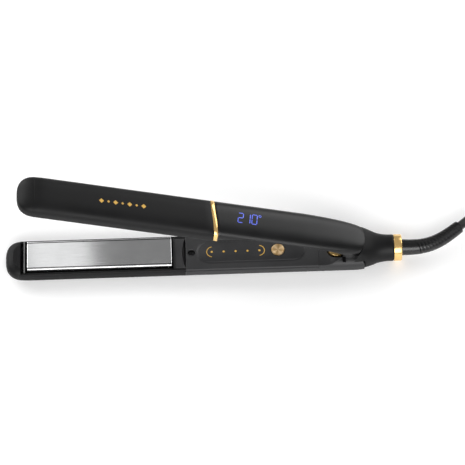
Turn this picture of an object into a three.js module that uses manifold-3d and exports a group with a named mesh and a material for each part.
// A flat iron (hair straightener), open on its lower arm. Millimetres, +Z up,
// tips towards -X, cord towards +X. Each arm is drawn in an arm frame: x runs
// back from the tip, z = 0 is the plane where the plates meet, and the outside
// of the shell is at z = -ARM_DEPTH. The upper arm is the same frame turned over.
import * as THREE from 'three';
import { LoftGeometry } from 'three/addons/geometries/LoftGeometry.js';
import { mergeVertices } from 'three/addons/utils/BufferGeometryUtils.js';
import Module from 'manifold-3d';

const wasm = await Module();
wasm.setup();

// Arms
const ARM_WIDTH = 31.5;
const ARM_DEPTH = 16.1;
const SECTION_POWER = 3; // squareness of the rounded section
const SECTION_SIDES = 24;
const REST_FLAT = 0.12; // depth cut off the crown, so that it rests on a flat
const WALL = 1.8;
const GAP = 0.3;
const OPEN_ANGLE = THREE.MathUtils.degToRad(17.7);
const HINGE_X = 261;
const TIP_LENGTH = 15.5;
const TIP_POWER = 2.6;
const TIP_CAP_END = 11.4;
const SHELL_SEAM = 137; // between the heating end and the handle
const HOUSING_SEAM = 238.6; // between the handle and the hinge housing
const LOWER_END = 272;
const UPPER_END = 272;
const END_LENGTH = 15;
const END_POWER = 2.3;
const UPPER_TAPER = [
    [222, 1], [235, 0.972], [245, 0.935], [252, 0.9], [259, 0.845], [264, 0.79], [268, 0.72],
    [UPPER_END, 0.65],
];
const UPPER_CUT = { x: 269.8, bow: 6.4, hollow: 264.5 }; // its rear end, cut to a shallow curve

// Heating end
const PLATE_START = 16.5;
const PLATE_LENGTH = 110;
const PLATE_WIDTH = 25;
const PLATE_THICKNESS = 4;
const PLATE_TOP = -0.2;
const PLATE_EDGE = 1.1; // rounding of the plate's long edges
const RIM = 3.8; // the shell's rim, below the plates' plane
const HEATER = { length: 92, width: 15, thickness: 1.2 };
const CARRIER = { inset: 1.5, halfWidth: 12, floor: -9.4, top: -4.6, wall: 1.6 };
const SPRING = { radius: 3, wire: 0.5, turns: 3, places: [36, 107] };

// Handle
const COVER_TOP = -3.8;
const COVER_BOTTOM = -5.4;
const COVER_START = 129;
const PAD = { start: 146.7, end: 227.5, halfWidth: 8.7, top: -3.1, bottom: -6.2 };
const BUTTON = { x: 207.6, radius: 4.95, top: -2.7, bottom: -6.6 };
const SCREW = { x: 141.6, headRadius: 2.6, shankRadius: 1.3, top: -5.9, length: 7 };
const POCKET = { start: 244.5, end: 263.5, halfWidth: 9.5, floor: -10 };
const KNOB = { x: 252.3, radius: 6.3, top: -4.6, bottom: -9.6 };
const UPPER_RIM = [
    [150, 4.6], [157, 8.2], [168, 10.6], [182, 11.6], [205, 12], [225, 11.6], [242, 10], [250, 8.4],
    [259, 5.3], [264, 4.2], [275, 3.6],
];
const TRAY = { wall: 1.4, tuck: 0.7, low: 4.3, narrow: 9.4, end: 250 };
const TRIM = {
    line: [[149.4, -16.8], [148.8, -13.4], [148.6, -5.4], [149.5, 3], [150.2, 10.5], [151.8, 16.8]],
    width: 2.9, proud: 0.12,
};
const DISPLAY_BOARD = { start: 166, end: 188, halfWidth: 8, bottom: 12.6, top: 11.4 };

// Hinge
const PIN_RADIUS = 2;
const EAR = { outer: 10.2, inner: 7.3, radius: 4.2 };
const KNUCKLE = { outer: 6.9, inner: 4 };

// Tail and cord, above the floor
const TAIL_Z = 10.2;
const TAIL_RADIUS = 10.2;
const TAIL_END = 296;
const RING_END = 302;
const CORD_RADIUS = 3.4;
const CORD_SIDES = 8;

const materials = {
    shell: { color: 0x1c1c1d, roughness: 0.62 },
    cover: { color: 0x2a2a2b, roughness: 0.55 },
    pad: { color: 0x232324, roughness: 0.5 },
    gold: { color: 0xd9a441, roughness: 0.28, metalness: 1 },
    plate: { color: 0xc9cacc, roughness: 0.16, metalness: 1 },
    ceramic: { color: 0xd8d4c6, roughness: 0.7 },
    carrier: { color: 0x30302e, roughness: 0.7 },
    steel: { color: 0xa9abad, roughness: 0.35, metalness: 1 },
    board: { color: 0x1d5a34, roughness: 0.5 },
    rubber: { color: 0x141414, roughness: 0.75 },
    glassBead: { color: 0x6b2a1a, roughness: 0.3 },
};

// ---------------------------------------------------------------- solids

function solid(geometry) {
    const bare = new THREE.BufferGeometry();
    bare.setAttribute('position', geometry.attributes.position);
    bare.setIndex(geometry.index);
    const merged = mergeVertices(bare, 1e-4);
    const corners = merged.index.array;
    const triangles = [];
    for (let i = 0; i < corners.length; i += 3) {
        const [a, b, c] = corners.slice(i, i + 3);
        if (a !== b && b !== c && c !== a) triangles.push(a, b, c);
    }
    return new wasm.Manifold(new wasm.Mesh({
        numProp: 3,
        vertProperties: Float32Array.from(merged.attributes.position.array),
        triVerts: Uint32Array.from(triangles),
    }));
}

function largest(piece) {
    return piece.decompose().sort((a, b) => b.volume() - a.volume())[0];
}

function geometryOf(piece) {
    const { vertProperties, triVerts, numProp } = piece.getMesh();
    const geometry = new THREE.BufferGeometry();
    geometry.setAttribute('position', new THREE.BufferAttribute(vertProperties, numProp));
    geometry.setIndex(new THREE.BufferAttribute(triVerts, 1));
    return geometry;
}

function named(name, shape, look) {
    const geometry = shape.isBufferGeometry ? shape : geometryOf(shape);
    const mesh = new THREE.Mesh(geometry, new THREE.MeshStandardMaterial(materials[look]));
    mesh.name = name;
    return mesh;
}

const turned = (geometry, x, y, z) => geometry.applyMatrix4(new THREE.Matrix4().makeBasis(x, y, z));
const X = new THREE.Vector3(1, 0, 0);
const Y = new THREE.Vector3(0, 1, 0);
const Z = new THREE.Vector3(0, 0, 1);

// A box by its low and high corners.
function block(x0, x1, y0, y1, z0, z1) {
    const geometry = new THREE.BoxGeometry(x1 - x0, y1 - y0, z1 - z0);
    return geometry.translate((x0 + x1) / 2, (y0 + y1) / 2, (z0 + z1) / 2);
}

// A flat outline given in two of the axes, pushed along the third.
function prismX(outline, x0, x1) {
    const options = { depth: x1 - x0, bevelEnabled: false, curveSegments: 4 };
    return turned(new THREE.ExtrudeGeometry(outline, options), Y, Z, X).translate(x0, 0, 0);
}

function prismY(outline, halfWidth) {
    const options = { depth: 2 * halfWidth, bevelEnabled: false, curveSegments: 8 };
    const geometry = new THREE.ExtrudeGeometry(outline, options);
    return turned(geometry, X, Z, Y.clone().negate()).translate(0, halfWidth, 0);
}

function prismZ(outline, z0, z1) {
    const options = { depth: z1 - z0, bevelEnabled: false, curveSegments: 8 };
    return new THREE.ExtrudeGeometry(outline, options).translate(0, 0, z0);
}

// A round piece about the X axis, from [x, radius] pairs.
function turnedPiece(profile, segments = 24) {
    const points = profile.map(([x, radius]) => new THREE.Vector2(radius, x));
    return turned(new THREE.LatheGeometry(points, segments), Y, X, Z.clone().negate());
}

// A round piece about the Z axis.
function turnedUpright(profile, segments = 24) {
    const points = profile.map(([z, radius]) => new THREE.Vector2(radius, z));
    return turned(new THREE.LatheGeometry(points, segments), X, Z, Y.clone().negate());
}

// A cylinder along Y.
function crossRod(radius, y0, y1, segments = 16) {
    return new THREE.CylinderGeometry(radius, radius, y1 - y0, segments).translate(0, (y0 + y1) / 2, 0);
}

function stadium(x0, x1, halfWidth) {
    const shape = new THREE.Shape();
    shape.moveTo(x0 + halfWidth, -halfWidth);
    shape.lineTo(x1 - halfWidth, -halfWidth);
    shape.absarc(x1 - halfWidth, 0, halfWidth, -Math.PI / 2, Math.PI / 2, false);
    shape.lineTo(x0 + halfWidth, halfWidth);
    shape.absarc(x0 + halfWidth, 0, halfWidth, Math.PI / 2, 3 * Math.PI / 2, false);
    return shape;
}

// One rounded-square section across X.
function section(x, halfWidth, low, high, power, sides = SECTION_SIDES) {
    const points = [];
    for (let i = 0; i < sides; i++) {
        const angle = 2 * Math.PI * (i + 0.5) / sides;
        const [c, s] = [Math.cos(angle), Math.sin(angle)];
        const y = halfWidth * Math.sign(c) * Math.abs(c) ** (2 / power);
        const z = (low + high) / 2 + (high - low) / 2 * Math.sign(s) * Math.abs(s) ** (2 / power);
        points.push(new THREE.Vector3(x, y, z));
    }
    return points;
}

const capped = { capStart: true, capEnd: true };

// The whole outer form of an arm, drawn in by inset all over. The lower arm has
// a round end, and the upper one tapers.
function armForm(end, inset = 0) {
    const middle = -ARM_DEPTH / 2;
    const halfWidth = ARM_WIDTH / 2 - inset;
    const halfDepth = ARM_DEPTH / 2 - inset;
    const at = (x, size) => section(x, halfWidth * size,
        middle - halfDepth * size, middle + halfDepth * size, SECTION_POWER);
    const blunt = THREE.MathUtils.degToRad(12); // leaves a small flat at each end
    const rounding = (length, power, steps) => Array.from({ length: steps }, (_, i) => {
        const angle = THREE.MathUtils.lerp(blunt, Math.PI / 2, i / (steps - 1));
        const along = length * (Math.cos(blunt) - Math.cos(angle));
        return [along, (1 - Math.cos(angle) ** power) ** (1 / power)];
    });
    const tip = rounding(TIP_LENGTH, TIP_POWER, 7).map(([along, size]) => at(inset + along, size));
    const tail = end === UPPER_END
        ? UPPER_TAPER.map(([x, size]) => at(x, size))
        : rounding(END_LENGTH, END_POWER, 7).map(([along, size]) => at(end - inset - along, size)).reverse();
    const form = solid(new LoftGeometry([...tip, ...tail], capped));
    return form.intersect(solid(block(-1, 400, -50, 50, -ARM_DEPTH + REST_FLAT + inset, 50)));
}

const slab = (x0, x1, z0 = -50, z1 = 50) => solid(block(x0, x1, -50, 50, z0, z1));

function spring(radius, wire, turns, z0, z1) {
    const points = [];
    const steps = turns * 10;
    for (let i = 0; i <= steps; i++) {
        const angle = 2 * Math.PI * turns * i / steps;
        const height = z0 + wire + (z1 - z0 - 2 * wire) * i / steps;
        points.push(new THREE.Vector3(radius * Math.cos(angle), radius * Math.sin(angle), height));
    }
    return tube(points, wire, 6, steps);
}

function tube(points, radius, sides, steps) {
    const outline = new THREE.Shape();
    for (let i = 0; i < sides; i++) {
        const angle = 2 * Math.PI * (i + 0.5) / sides;
        outline[i ? 'lineTo' : 'moveTo'](radius * Math.cos(angle), radius * Math.sin(angle));
    }
    const path = new THREE.CatmullRomCurve3(points);
    return new THREE.ExtrudeGeometry(outline, { extrudePath: path, steps, bevelEnabled: false });
}

// ---------------------------------------------------------------- heating end, the same in both arms

function tipCap(side, end) {
    const outer = armForm(end).intersect(slab(-1, TIP_CAP_END - GAP / 2, -50, PLATE_TOP - 0.2));
    const hollow = armForm(end, WALL).intersect(slab(-1, TIP_CAP_END + 1, -50, PLATE_TOP - 0.2 - WALL));
    return named(`${side}_tip_cap`, outer.subtract(hollow), 'shell');
}

function frontShell(side, end, rearCut) {
    const outer = armForm(end).intersect(slab(TIP_CAP_END + GAP / 2, SHELL_SEAM + 30, -50, -RIM));
    const half = PLATE_WIDTH / 2 + 2 * GAP;
    const plateWell = solid(block(TIP_CAP_END, COVER_START, -half, half, -8, 0));
    const shell = outer.subtract(armForm(end, WALL)).subtract(plateWell).subtract(rearCut);
    return named(`${side}_front_shell`, largest(shell), 'shell');
}

function plate(side) {
    const half = PLATE_WIDTH / 2;
    const bottom = PLATE_TOP - PLATE_THICKNESS;
    const slotHalf = HEATER.width / 2 + GAP;
    const slotTop = bottom + HEATER.thickness + 2 * GAP;
    const outline = new THREE.Shape();
    outline.moveTo(-half, bottom);
    outline.lineTo(-slotHalf, bottom);
    outline.lineTo(-slotHalf, slotTop);
    outline.lineTo(slotHalf, slotTop);
    outline.lineTo(slotHalf, bottom);
    outline.lineTo(half, bottom);
    outline.lineTo(half, PLATE_TOP - PLATE_EDGE);
    outline.absarc(half - PLATE_EDGE, PLATE_TOP - PLATE_EDGE, PLATE_EDGE, 0, Math.PI / 2, false);
    outline.absarc(-half + PLATE_EDGE, PLATE_TOP - PLATE_EDGE, PLATE_EDGE, Math.PI / 2, Math.PI, false);
    return named(`${side}_plate`, prismX(outline, PLATE_START, PLATE_START + PLATE_LENGTH), 'plate');
}

function heater(side) {
    const bottom = PLATE_TOP - PLATE_THICKNESS + GAP;
    const middle = PLATE_START + PLATE_LENGTH / 2;
    const shape = block(middle - HEATER.length / 2, middle + HEATER.length / 2,
        -HEATER.width / 2, HEATER.width / 2, bottom, bottom + HEATER.thickness);
    return named(`${side}_heater`, shape, 'ceramic');
}

function plateCarrier(side) {
    const { inset, halfWidth, floor, top, wall } = CARRIER;
    const outline = new THREE.Shape();
    outline.moveTo(-halfWidth, floor);
    outline.lineTo(halfWidth, floor);
    outline.lineTo(halfWidth, top);
    outline.lineTo(halfWidth - wall, top);
    outline.lineTo(halfWidth - wall, floor + wall);
    outline.lineTo(-halfWidth + wall, floor + wall);
    outline.lineTo(-halfWidth + wall, top);
    outline.lineTo(-halfWidth, top);
    const shape = prismX(outline, PLATE_START + inset, PLATE_START + PLATE_LENGTH - inset);
    return named(`${side}_plate_carrier`, shape, 'carrier');
}

function sensor(side) {
    const middle = PLATE_START + PLATE_LENGTH / 2;
    const profile = [[-2.5, 0], [-2.5, 1], [-1.5, 1.4], [1.5, 1.4], [2.5, 1], [2.5, 0]];
    const shape = turnedPiece(profile, 12).translate(middle, 0, CARRIER.top - 1.4);
    return named(`${side}_temperature_sensor`, shape, 'glassBead');
}

function plateSprings(side) {
    const low = -ARM_DEPTH + REST_FLAT + WALL + GAP;
    const high = CARRIER.floor - GAP;
    return SPRING.places.map((x, i) => {
        const shape = spring(SPRING.radius, SPRING.wire, SPRING.turns, low, high).translate(x, 0, 0);
        return named(`${side}_plate_spring_${i ? 'rear' : 'front'}`, shape, 'steel');
    });
}

function coverScrew(side) {
    const { x, headRadius, shankRadius, top, length } = SCREW;
    const profile = [[top - length, 0], [top - length, shankRadius], [top - 2, shankRadius],
        [top - 2, headRadius], [top, headRadius], [top, 0]];
    const body = solid(turnedUpright(profile, 16).translate(x, 0, 0));
    const slot = (along, across) => solid(block(x - along, x + along, -across, across, top - 0.8, top + 1));
    return named(`${side}_cover_screw`, body.subtract(slot(1.6, 0.35)).subtract(slot(0.35, 1.6)), 'steel');
}

// The inner face from behind the plate: a ribbed bridge, then the cover.
function innerCover(side, end, rimCut) {
    const boss = new THREE.CylinderGeometry(SCREW.headRadius + GAP, SCREW.headRadius + GAP, 20, 20);
    const cover = armForm(end, WALL + GAP)
        .intersect(slab(COVER_START, SHELL_SEAM, COVER_BOTTOM, COVER_TOP))
        .add(armForm(end).intersect(slab(SHELL_SEAM, HOUSING_SEAM - GAP / 2, COVER_BOTTOM, COVER_TOP)))
        .subtract(solid(boss.rotateX(Math.PI / 2).translate(SCREW.x, 0, 0)));
    return named(`${side}_inner_cover`, largest(rimCut(cover)), 'cover');
}

function heatingEnd(side, end, rearCut) {
    return [
        tipCap(side, end),
        frontShell(side, end, rearCut),
        ...plateSprings(side),
        coverScrew(side),
    ];
}

const floatingPlate = (side) => [plate(side), heater(side), plateCarrier(side), sensor(side)];

// ---------------------------------------------------------------- lower arm

const lowerArm = new THREE.Group();
lowerArm.position.z = ARM_DEPTH - REST_FLAT;

const lowerSeam = slab(SHELL_SEAM - GAP / 2, 400);
lowerArm.add(...heatingEnd('lower', LOWER_END, lowerSeam), ...floatingPlate('lower'));

const handleShell = armForm(LOWER_END)
    .intersect(slab(SHELL_SEAM + GAP / 2, HOUSING_SEAM - GAP / 2, -50, COVER_BOTTOM - GAP))
    .subtract(armForm(LOWER_END, WALL));
lowerArm.add(named('lower_handle_shell', handleShell, 'shell'));

const padHole = solid(prismZ(stadium(PAD.start - GAP, PAD.end + GAP, PAD.halfWidth + GAP), -20, 20));
lowerArm.add(innerCover('lower', LOWER_END, (cover) => cover.subtract(padHole)));

const buttonRoom = BUTTON.radius + GAP;
const buttonHole = solid(turnedUpright([[-20, 0], [-20, buttonRoom], [20, buttonRoom], [20, 0]])
    .translate(BUTTON.x, 0, 0));
const padBody = solid(prismZ(stadium(PAD.start, PAD.end, PAD.halfWidth), PAD.bottom, PAD.top));
lowerArm.add(named('control_pad', padBody.subtract(buttonHole), 'pad'));

const buttonProfile = [
    [BUTTON.bottom, 0], [BUTTON.bottom, BUTTON.radius], [BUTTON.top - 0.4, BUTTON.radius],
    [BUTTON.top, BUTTON.radius - 0.4], [BUTTON.top - 0.1, 0],
];
lowerArm.add(named('power_button', turnedUpright(buttonProfile).translate(BUTTON.x, 0, 0), 'gold'));

const SWITCH = { half: 3, height: 2.6, below: 1.1 };
const switchTop = BUTTON.bottom - SWITCH.below;
lowerArm.add(named('button_switch', block(BUTTON.x - SWITCH.half, BUTTON.x + SWITCH.half,
    -SWITCH.half, SWITCH.half, switchTop - SWITCH.height, switchTop), 'steel'));
const boardTop = switchTop - SWITCH.height - GAP;
lowerArm.add(named('control_board', block(152, 228, -10, 10, boardTop - 1.6, boardTop), 'board'));

// Hinge housing: the deck steps up to the meeting plane behind the pocket.
const deck = new THREE.Shape();
deck.moveTo(HOUSING_SEAM + GAP / 2, -50);
deck.lineTo(LOWER_END + 1, -50);
deck.lineTo(LOWER_END + 1, -0.4);
deck.lineTo(257, -0.4);
deck.bezierCurveTo(251, -0.4, 250, COVER_TOP, 243, COVER_TOP);
deck.lineTo(HOUSING_SEAM + GAP / 2, COVER_TOP);
const housingHollow = armForm(LOWER_END, WALL)
    .intersect(slab(HOUSING_SEAM - 5, POCKET.start - WALL, -50, COVER_TOP - WALL)
        .add(slab(HOUSING_SEAM - 5, 400, -50, POCKET.floor - WALL)));
const pocket = solid(prismZ(stadium(POCKET.start, POCKET.end, POCKET.halfWidth), POCKET.floor, 20));
const earRoom = solid(block(HINGE_X - 6, HINGE_X + 7, -EAR.outer - GAP, EAR.outer + GAP, -6, 20));
const tailRoom = solid(turnedPiece([[255, 0], [255, 7.2], [290, 7.2], [290, 0]]))
    .translate(0, 0, TAIL_Z - ARM_DEPTH + REST_FLAT);
const housing = armForm(LOWER_END).intersect(solid(prismY(deck, 50)))
    .subtract(housingHollow).subtract(pocket).subtract(earRoom).subtract(tailRoom);
lowerArm.add(named('lower_hinge_housing', largest(housing), 'shell'));

const knobProfile = [
    [KNOB.bottom, 0], [KNOB.bottom, KNOB.radius], [KNOB.top - 1.4, KNOB.radius],
    [KNOB.top - 0.4, KNOB.radius - 0.5], [KNOB.top, KNOB.radius - 1.6], [KNOB.top, 0],
];
lowerArm.add(named('lock_knob', turnedUpright(knobProfile).translate(KNOB.x, 0, 0), 'gold'));

// Hinge bracket: two ears on a base, with clear bores for the pin.
const bore = (clearance) => solid(crossRod(PIN_RADIUS + clearance, -20, 20).translate(HINGE_X, 0, 0));
const ear = (y0, y1) => solid(crossRod(EAR.radius, y0, y1).translate(HINGE_X, 0, 0))
    .add(solid(block(HINGE_X - EAR.radius, HINGE_X + EAR.radius, y0, y1, -5.6, 0)));
const bracket = ear(-EAR.outer, -EAR.inner).add(ear(EAR.inner, EAR.outer))
    .add(solid(block(HINGE_X + 2, HINGE_X + 6, -EAR.outer, EAR.outer, -5.6, -4.6)))
    .subtract(bore(GAP));
lowerArm.add(named('hinge_bracket', bracket, 'steel'));
const hingePin = crossRod(PIN_RADIUS, -EAR.outer, EAR.outer).translate(HINGE_X, 0, 0);
lowerArm.add(named('hinge_pin', hingePin, 'steel'));

// ---------------------------------------------------------------- upper arm

// Everything of the upper arm is drawn closed over the lower one, turned over
// in `flipped`, and swung open about the hinge by `swing`.
const swing = new THREE.Group();
swing.position.set(HINGE_X, 0, lowerArm.position.z);
swing.rotation.y = OPEN_ANGLE;
const flipped = new THREE.Group();
flipped.position.x = -HINGE_X;
flipped.rotation.x = Math.PI;
swing.add(flipped);

// The trim ring follows a shallow S across the arm. Everything from `from` to
// `to` behind the ring's middle line.
function trimSlab(from, to) {
    const line = TRIM.line.map(([x, y]) => new THREE.Vector2(x + from, y));
    const outline = new THREE.Shape();
    outline.moveTo(line[0].x, line[0].y);
    outline.splineThru(line.slice(1));
    if (to === undefined) {
        outline.lineTo(400, line.at(-1).y);
        outline.lineTo(400, line[0].y);
    } else {
        const back = line.map((p) => new THREE.Vector2(p.x + to - from, p.y)).reverse();
        outline.lineTo(back[0].x, back[0].y);
        outline.splineThru(back.slice(1));
    }
    return solid(prismZ(outline, -50, 50));
}

const trimHalf = TRIM.width / 2;
flipped.add(...heatingEnd('upper', UPPER_END, trimSlab(-trimHalf - GAP)), ...floatingPlate('upper'));

const rimOutline = new THREE.Shape();
rimOutline.moveTo(120, -50);
rimOutline.lineTo(400, -50);
rimOutline.lineTo(400, -UPPER_RIM.at(-1)[1]);
rimOutline.splineThru(UPPER_RIM.toReversed().map(([x, depth]) => new THREE.Vector2(x, -depth)));
rimOutline.lineTo(120, -RIM);
const outsideRim = solid(prismY(rimOutline, 50));

// Everything in front of the upper arm's rear end.
function upperCut(clear, above) {
    const { x, bow } = UPPER_CUT;
    const outline = new THREE.Shape();
    outline.moveTo(0, -ARM_WIDTH);
    outline.lineTo(x - 4 * bow + clear, -ARM_WIDTH);
    outline.quadraticCurveTo(x + 4 * bow + clear, 0, x - 4 * bow + clear, ARM_WIDTH);
    outline.lineTo(0, ARM_WIDTH);
    return solid(prismZ(outline, -50, above));
}

const rearForm = armForm(UPPER_END).intersect(trimSlab(trimHalf + GAP));
// Behind the hinge the rim is cut along the meeting plane of the open iron.
const openWedge = solid(block(-60, 60, -50, 50, -60, GAP)
    .rotateY(-OPEN_ANGLE).rotateX(Math.PI).translate(HINGE_X, 0, 0));
const upperShell = rearForm.intersect(outsideRim).intersect(upperCut(0, 0))
    .subtract(armForm(UPPER_END, WALL).intersect(slab(0, UPPER_CUT.hollow)))
    .subtract(openWedge).subtract(earRoom);
flipped.add(named('upper_handle_shell', largest(upperShell), 'shell'));

const trimForm = armForm(UPPER_END, -TRIM.proud).subtract(armForm(UPPER_END, WALL))
    .intersect(trimSlab(-trimHalf, trimHalf)).intersect(slab(0, 400, -50, -RIM));
flipped.add(named('trim_ring', largest(trimForm), 'gold'));

// The upper cover is an open tray set in between the shell's walls. Its flat
// face narrows towards the handle, and its sides slope up to the shell's rim.
function trayForm(x0, x1, inset) {
    const inner = WALL + GAP;
    const halfWidth = ARM_WIDTH / 2 - inner;
    const halfDepth = ARM_DEPTH / 2 - inner;
    const front = [[x0, RIM], [148, RIM + 0.4]];
    const handle = UPPER_RIM.slice(1, 7);
    const sections = [...front, ...handle, [x1, UPPER_RIM[7][1]]].map(([x, rim], i) => {
        const offset = Math.abs(rim - ARM_DEPTH / 2) / halfDepth;
        const wide = halfWidth * (1 - offset ** SECTION_POWER) ** (1 / SECTION_POWER) - inset;
        const flat = i < front.length ? wide - 0.3 : TRAY.narrow - inset;
        const deep = -rim - TRAY.tuck - 2 * inset;
        const low = -TRAY.low - inset;
        return [[wide, deep], [flat, low], [-flat, low], [-wide, deep]]
            .map(([y, z]) => new THREE.Vector3(x, y, z));
    });
    return solid(new LoftGeometry(sections, capped));
}

const screwRoom = solid(new THREE.CylinderGeometry(SCREW.headRadius + GAP, SCREW.headRadius + GAP, 20, 20)
    .rotateX(Math.PI / 2).translate(SCREW.x, 0, 0));
const upperCover = trayForm(COVER_START, TRAY.end, 0).intersect(armForm(UPPER_END, WALL + GAP))
    .subtract(trayForm(COVER_START - 1, TRAY.end + 1, TRAY.wall)).subtract(screwRoom);
flipped.add(named('upper_inner_cover', largest(upperCover), 'cover'));

const { start, end, halfWidth, bottom, top } = DISPLAY_BOARD;
flipped.add(named('display_board', block(start, end, -halfWidth, halfWidth, -bottom, -top), 'board'));

// Hinge block: two knuckles under a web that reaches into the upper handle.
const knuckle = (y0, y1) => solid(crossRod(EAR.radius - 0.2, y0, y1).translate(HINGE_X, 0, 0))
    .add(solid(block(HINGE_X - 4, HINGE_X + 3, y0, y1, -11, 0)));
const hingeBlock = knuckle(-KNUCKLE.outer, -KNUCKLE.inner).add(knuckle(KNUCKLE.inner, KNUCKLE.outer))
    .add(solid(block(HINGE_X - 12, HINGE_X + 3, -KNUCKLE.outer, KNUCKLE.outer, -12, -9.8)))
    .subtract(bore(GAP));
flipped.add(named('hinge_block', hingeBlock, 'carrier'));

// Opening spring: a coil round the middle of the pin, with a leg to each arm.
const coilTurns = 3;
const coilSteps = coilTurns * 10;
const coilRadius = 3.2;
const springPoints = [new THREE.Vector3(-9, -2.6, -3.4)];
for (let i = 0; i <= coilSteps; i++) {
    const angle = -Math.PI / 2 - 2 * Math.PI * coilTurns * i / coilSteps;
    const across = -2.6 + 5.2 * i / coilSteps;
    springPoints.push(new THREE.Vector3(coilRadius * Math.cos(angle), across, coilRadius * Math.sin(angle)));
}
springPoints.push(new THREE.Vector3(-8, 2.6, -1.2));
const hingeSpring = named('hinge_spring', tube(springPoints, 0.5, 6, coilSteps * 2), 'steel');
hingeSpring.position.set(HINGE_X, 0, lowerArm.position.z);

// ---------------------------------------------------------------- tail

// Collar: full at the arms' ends, narrowing to the round neck. Stations are
// x, half width, lowest, highest and squareness.
const collarStations = [
    [256, 15.2, 1.2, 29, 3], [264, 15.3, 0.6, 27.4, 2.9], [269, 15, 0.2, 25.4, 2.8],
    [274, 14.2, 0.05, 23.2, 2.6], [279, 12.6, 0, 21.5, 2.35], [284, 11.1, 0, 20.7, 2.15],
    [290, 10.35, 0, 20.4, 2],
    [TAIL_END - GAP, TAIL_RADIUS, 0, 2 * TAIL_RADIUS, 2],
];
let collar = solid(new LoftGeometry(collarStations.map((station) => section(...station)), capped));
collar = collar.subtract(armForm(LOWER_END, -GAP).translate(0, 0, lowerArm.position.z));
const turnedOver = armForm(UPPER_END, -GAP).rotate(180, 0, 0).translate(-HINGE_X, 0, 0);
const swungOpen = (piece, share) => piece.rotate(0, THREE.MathUtils.radToDeg(OPEN_ANGLE * share), 0)
    .translate(HINGE_X, 0, lowerArm.position.z);
for (const share of [0, 0.25, 0.5, 0.75, 1]) collar = collar.subtract(swungOpen(turnedOver, share));
const frontRoom = upperCut(GAP, GAP).rotate(180, 0, 0).translate(-HINGE_X, 0, 0);
collar = collar.subtract(swungOpen(frontRoom, 1));
const hingeRoom = solid(block(250, 268.5, -EAR.outer - 2 * GAP, EAR.outer + 2 * GAP, 8, 26));
const spigot = solid(turnedPiece([[269, 0], [269, 5.4], [276, 5.4], [276, 0]])).translate(0, 0, TAIL_Z);
const swivelBore = solid(turnedPiece([[258, 0], [258, 4.4], [277, 4.4], [277, 6.7], [300, 6.7], [300, 0]]))
    .translate(0, 0, TAIL_Z);
collar = largest(collar.subtract(hingeRoom).add(spigot).subtract(swivelBore));
const tailCollar = named('tail_collar', collar, 'shell');

const ringProfile = [[TAIL_END, 6.9], [TAIL_END, 10.0], [TAIL_END + 0.3, TAIL_RADIUS],
    [RING_END - 0.4, TAIL_RADIUS], [RING_END, 9.7], [RING_END, 6.9], [TAIL_END, 6.9]];
const tailRing = named('tail_ring', turnedPiece(ringProfile, 32), 'gold');
tailRing.position.z = TAIL_Z;

// Swivel: a core held by its flange in the collar, with two contact rings.
const coreProfile = [[270, 0], [270, 3.9], [278, 3.9], [278, 5], [287, 5], [287, 6.3],
    [290, 6.3], [290, 5.4], [298, 5.4], [298, 0]];
const swivelCore = named('swivel_core', turnedPiece(coreProfile), 'carrier');
swivelCore.position.z = TAIL_Z;
const contactRings = [[279, 'front'], [283.4, 'rear']].map(([x, place]) => {
    const profile = [[x, 5.3], [x, 6.3], [x + 2.6, 6.3], [x + 2.6, 5.3], [x, 5.3]];
    const ring = named(`contact_ring_${place}`, turnedPiece(profile), 'gold');
    ring.position.z = TAIL_Z;
    return ring;
});

// ---------------------------------------------------------------- cord

// Strain relief: a tapered sleeve that bends away in the horizontal plane.
const sleevePath = new THREE.CatmullRomCurve3([
    [298.4, 0], [304, 0], [310, -0.1], [317, 0.4], [324.4, 2.1], [332, 5.5], [339.7, 10.5], [347.4, 16.5],
].map(([x, y]) => new THREE.Vector3(x, y, TAIL_Z)));
const sleeveSteps = 16;
const sleeveSections = [];
for (let i = 0; i <= sleeveSteps; i++) {
    const place = sleevePath.getPointAt(i / sleeveSteps);
    const along = sleevePath.getTangentAt(i / sleeveSteps);
    const aside = new THREE.Vector3().crossVectors(Z, along);
    const radius = THREE.MathUtils.lerp(6.25, 4.9, i / sleeveSteps);
    sleeveSections.push(Array.from({ length: 12 }, (_, k) => {
        const angle = 2 * Math.PI * k / 12;
        return place.clone().addScaledVector(aside, radius * Math.cos(angle))
            .addScaledVector(Z, radius * Math.sin(angle));
    }));
}
const strainRelief = named('strain_relief', new LoftGeometry(sleeveSections, capped), 'rubber');

// The free stretch: out of the sleeve, down to the floor and on to the hank.
const leadPoints = [
    [347.7, 16.8, 10.2], [353, 21.4, 9.7], [359, 26.7, 8.7], [366, 32.1, 7.2], [373.5, 36.5, 5.7],
    [381.5, 39.2, 4.4], [388, 40, 3.7], [394.5, 39.9, 3.45], [401, 39.6, 3.45], [408.5, 39.6, 3.45],
];
const cordTube = (points, steps) => tube(points.map((point) => new THREE.Vector3(...point)),
    CORD_RADIUS, CORD_SIDES, steps);
const powerCord = named('power_cord', cordTube(leadPoints, 10), 'rubber');

// The hank: an oval winding drawn in at its waist by a tie.
const HANK = { x: 470, y: 15, halfLength: 69, endHalf: 31.5, waistHalf: 14.6, height: 21.9 };
const hankOutline = new THREE.Shape();
const straight = HANK.halfLength - HANK.endHalf;
const { endHalf, waistHalf } = HANK;
const ease = straight / 2;
hankOutline.moveTo(-straight, -endHalf);
hankOutline.bezierCurveTo(-ease, -endHalf, -ease, -waistHalf, 0, -waistHalf);
hankOutline.bezierCurveTo(ease, -waistHalf, ease, -endHalf, straight, -endHalf);
hankOutline.absarc(straight, 0, endHalf, -Math.PI / 2, Math.PI / 2, false);
hankOutline.bezierCurveTo(ease, endHalf, ease, waistHalf, 0, waistHalf);
hankOutline.bezierCurveTo(-ease, waistHalf, -ease, endHalf, -straight, endHalf);
hankOutline.absarc(-straight, 0, endHalf, Math.PI / 2, 3 * Math.PI / 2, false);
const TIE = { halfLength: 5, thickness: 1.2, bottom: 0.1 };
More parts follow.
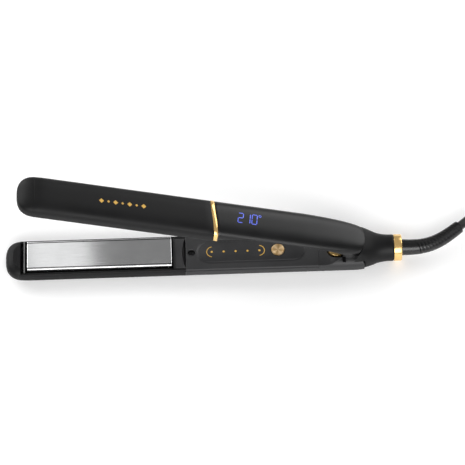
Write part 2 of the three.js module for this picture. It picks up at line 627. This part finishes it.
const tieSlot = solid(block(-TIE.halfLength - GAP, TIE.halfLength + GAP, -40, 40,
    -1, TIE.bottom + TIE.thickness + GAP));
const hankBody = solid(prismZ(hankOutline, 0, HANK.height)).subtract(tieSlot);
const cordHank = named('cord_hank', hankBody, 'rubber');
cordHank.position.set(HANK.x, HANK.y, 0);

const tieInner = { half: HANK.waistHalf + 0.8, low: TIE.bottom + TIE.thickness, high: HANK.height + GAP };
const tieOuterHalf = tieInner.half + TIE.thickness;
const tieTop = tieInner.high + TIE.thickness;
const tieBand = solid(block(-TIE.halfLength, TIE.halfLength, -tieOuterHalf, tieOuterHalf, TIE.bottom, tieTop))
    .subtract(solid(block(-20, 20, -tieInner.half, tieInner.half, tieInner.low, tieInner.high)));
const hankTie = named('hank_tie', tieBand, 'rubber');
hankTie.position.copy(cordHank.position);

// The plug lies on the hank, and the cord's last stretch runs to it.
const PLUG = { x: 484, length: 35, width: 26, height: 13.7 };
const PIN = { radius: 2, length: 19, spacing: 18.6, tip: 1.2 };
const plugFloor = HANK.height + GAP;
const plugAxis = plugFloor + PLUG.height / 2;
const plugStations = [
    [0, 4.6, 4.6, 2], [8, 5.4, 5.4, 2], [14, 9.5, 6.5, 2.4], [19, 12.4, PLUG.height / 2, 3],
    [PLUG.length, PLUG.width / 2, PLUG.height / 2, 4],
].map(([x, halfWidth, halfHeight, power]) => section(x, halfWidth, -halfHeight, halfHeight, power, 20));
const plugBody = named('plug_body', new LoftGeometry(plugStations, capped), 'rubber');
plugBody.position.set(PLUG.x, HANK.y, plugAxis);
const plugPins = [[-1, 'near'], [1, 'far']].map(([side, place]) => {
    const { radius, length, tip } = PIN;
    const profile = [[0, 0], [0, radius], [length - 1, radius], [length, tip], [length, 0]];
    const pin = named(`plug_pin_${place}`, turnedPiece(profile, 12), 'steel');
    pin.position.set(PLUG.x + PLUG.length + GAP, HANK.y + side * PIN.spacing / 2, plugAxis);
    return pin;
});
const overTie = tieTop + GAP + CORD_RADIUS;
const onHank = HANK.height + GAP + CORD_RADIUS;
const plugLeadPoints = [
    [411.5, 15, onHank], [414.3, 25.5, onHank], [422, 33.2, onHank], [432.5, 36, onHank], [445, 32, onHank],
    [452, 26.5, onHank + 0.5], [458, 21.5, overTie], [465, 17.6, overTie], [473, 15.6, overTie + 0.2],
    [PLUG.x - 1, 15, plugAxis],
];
const plugLead = named('plug_lead', cordTube(plugLeadPoints, 8), 'rubber');

// ---------------------------------------------------------------- assembly

// The row's origin is under the middle of the iron, without its free cord.
const iron = new THREE.Group();
iron.add(lowerArm, swing, hingeSpring, tailCollar, tailRing, swivelCore, ...contactRings);
iron.add(strainRelief, powerCord, cordHank, hankTie, plugLead, plugBody, ...plugPins);
iron.position.x = -RING_END / 2;
const object = new THREE.Group();
object.add(iron);

export default object;
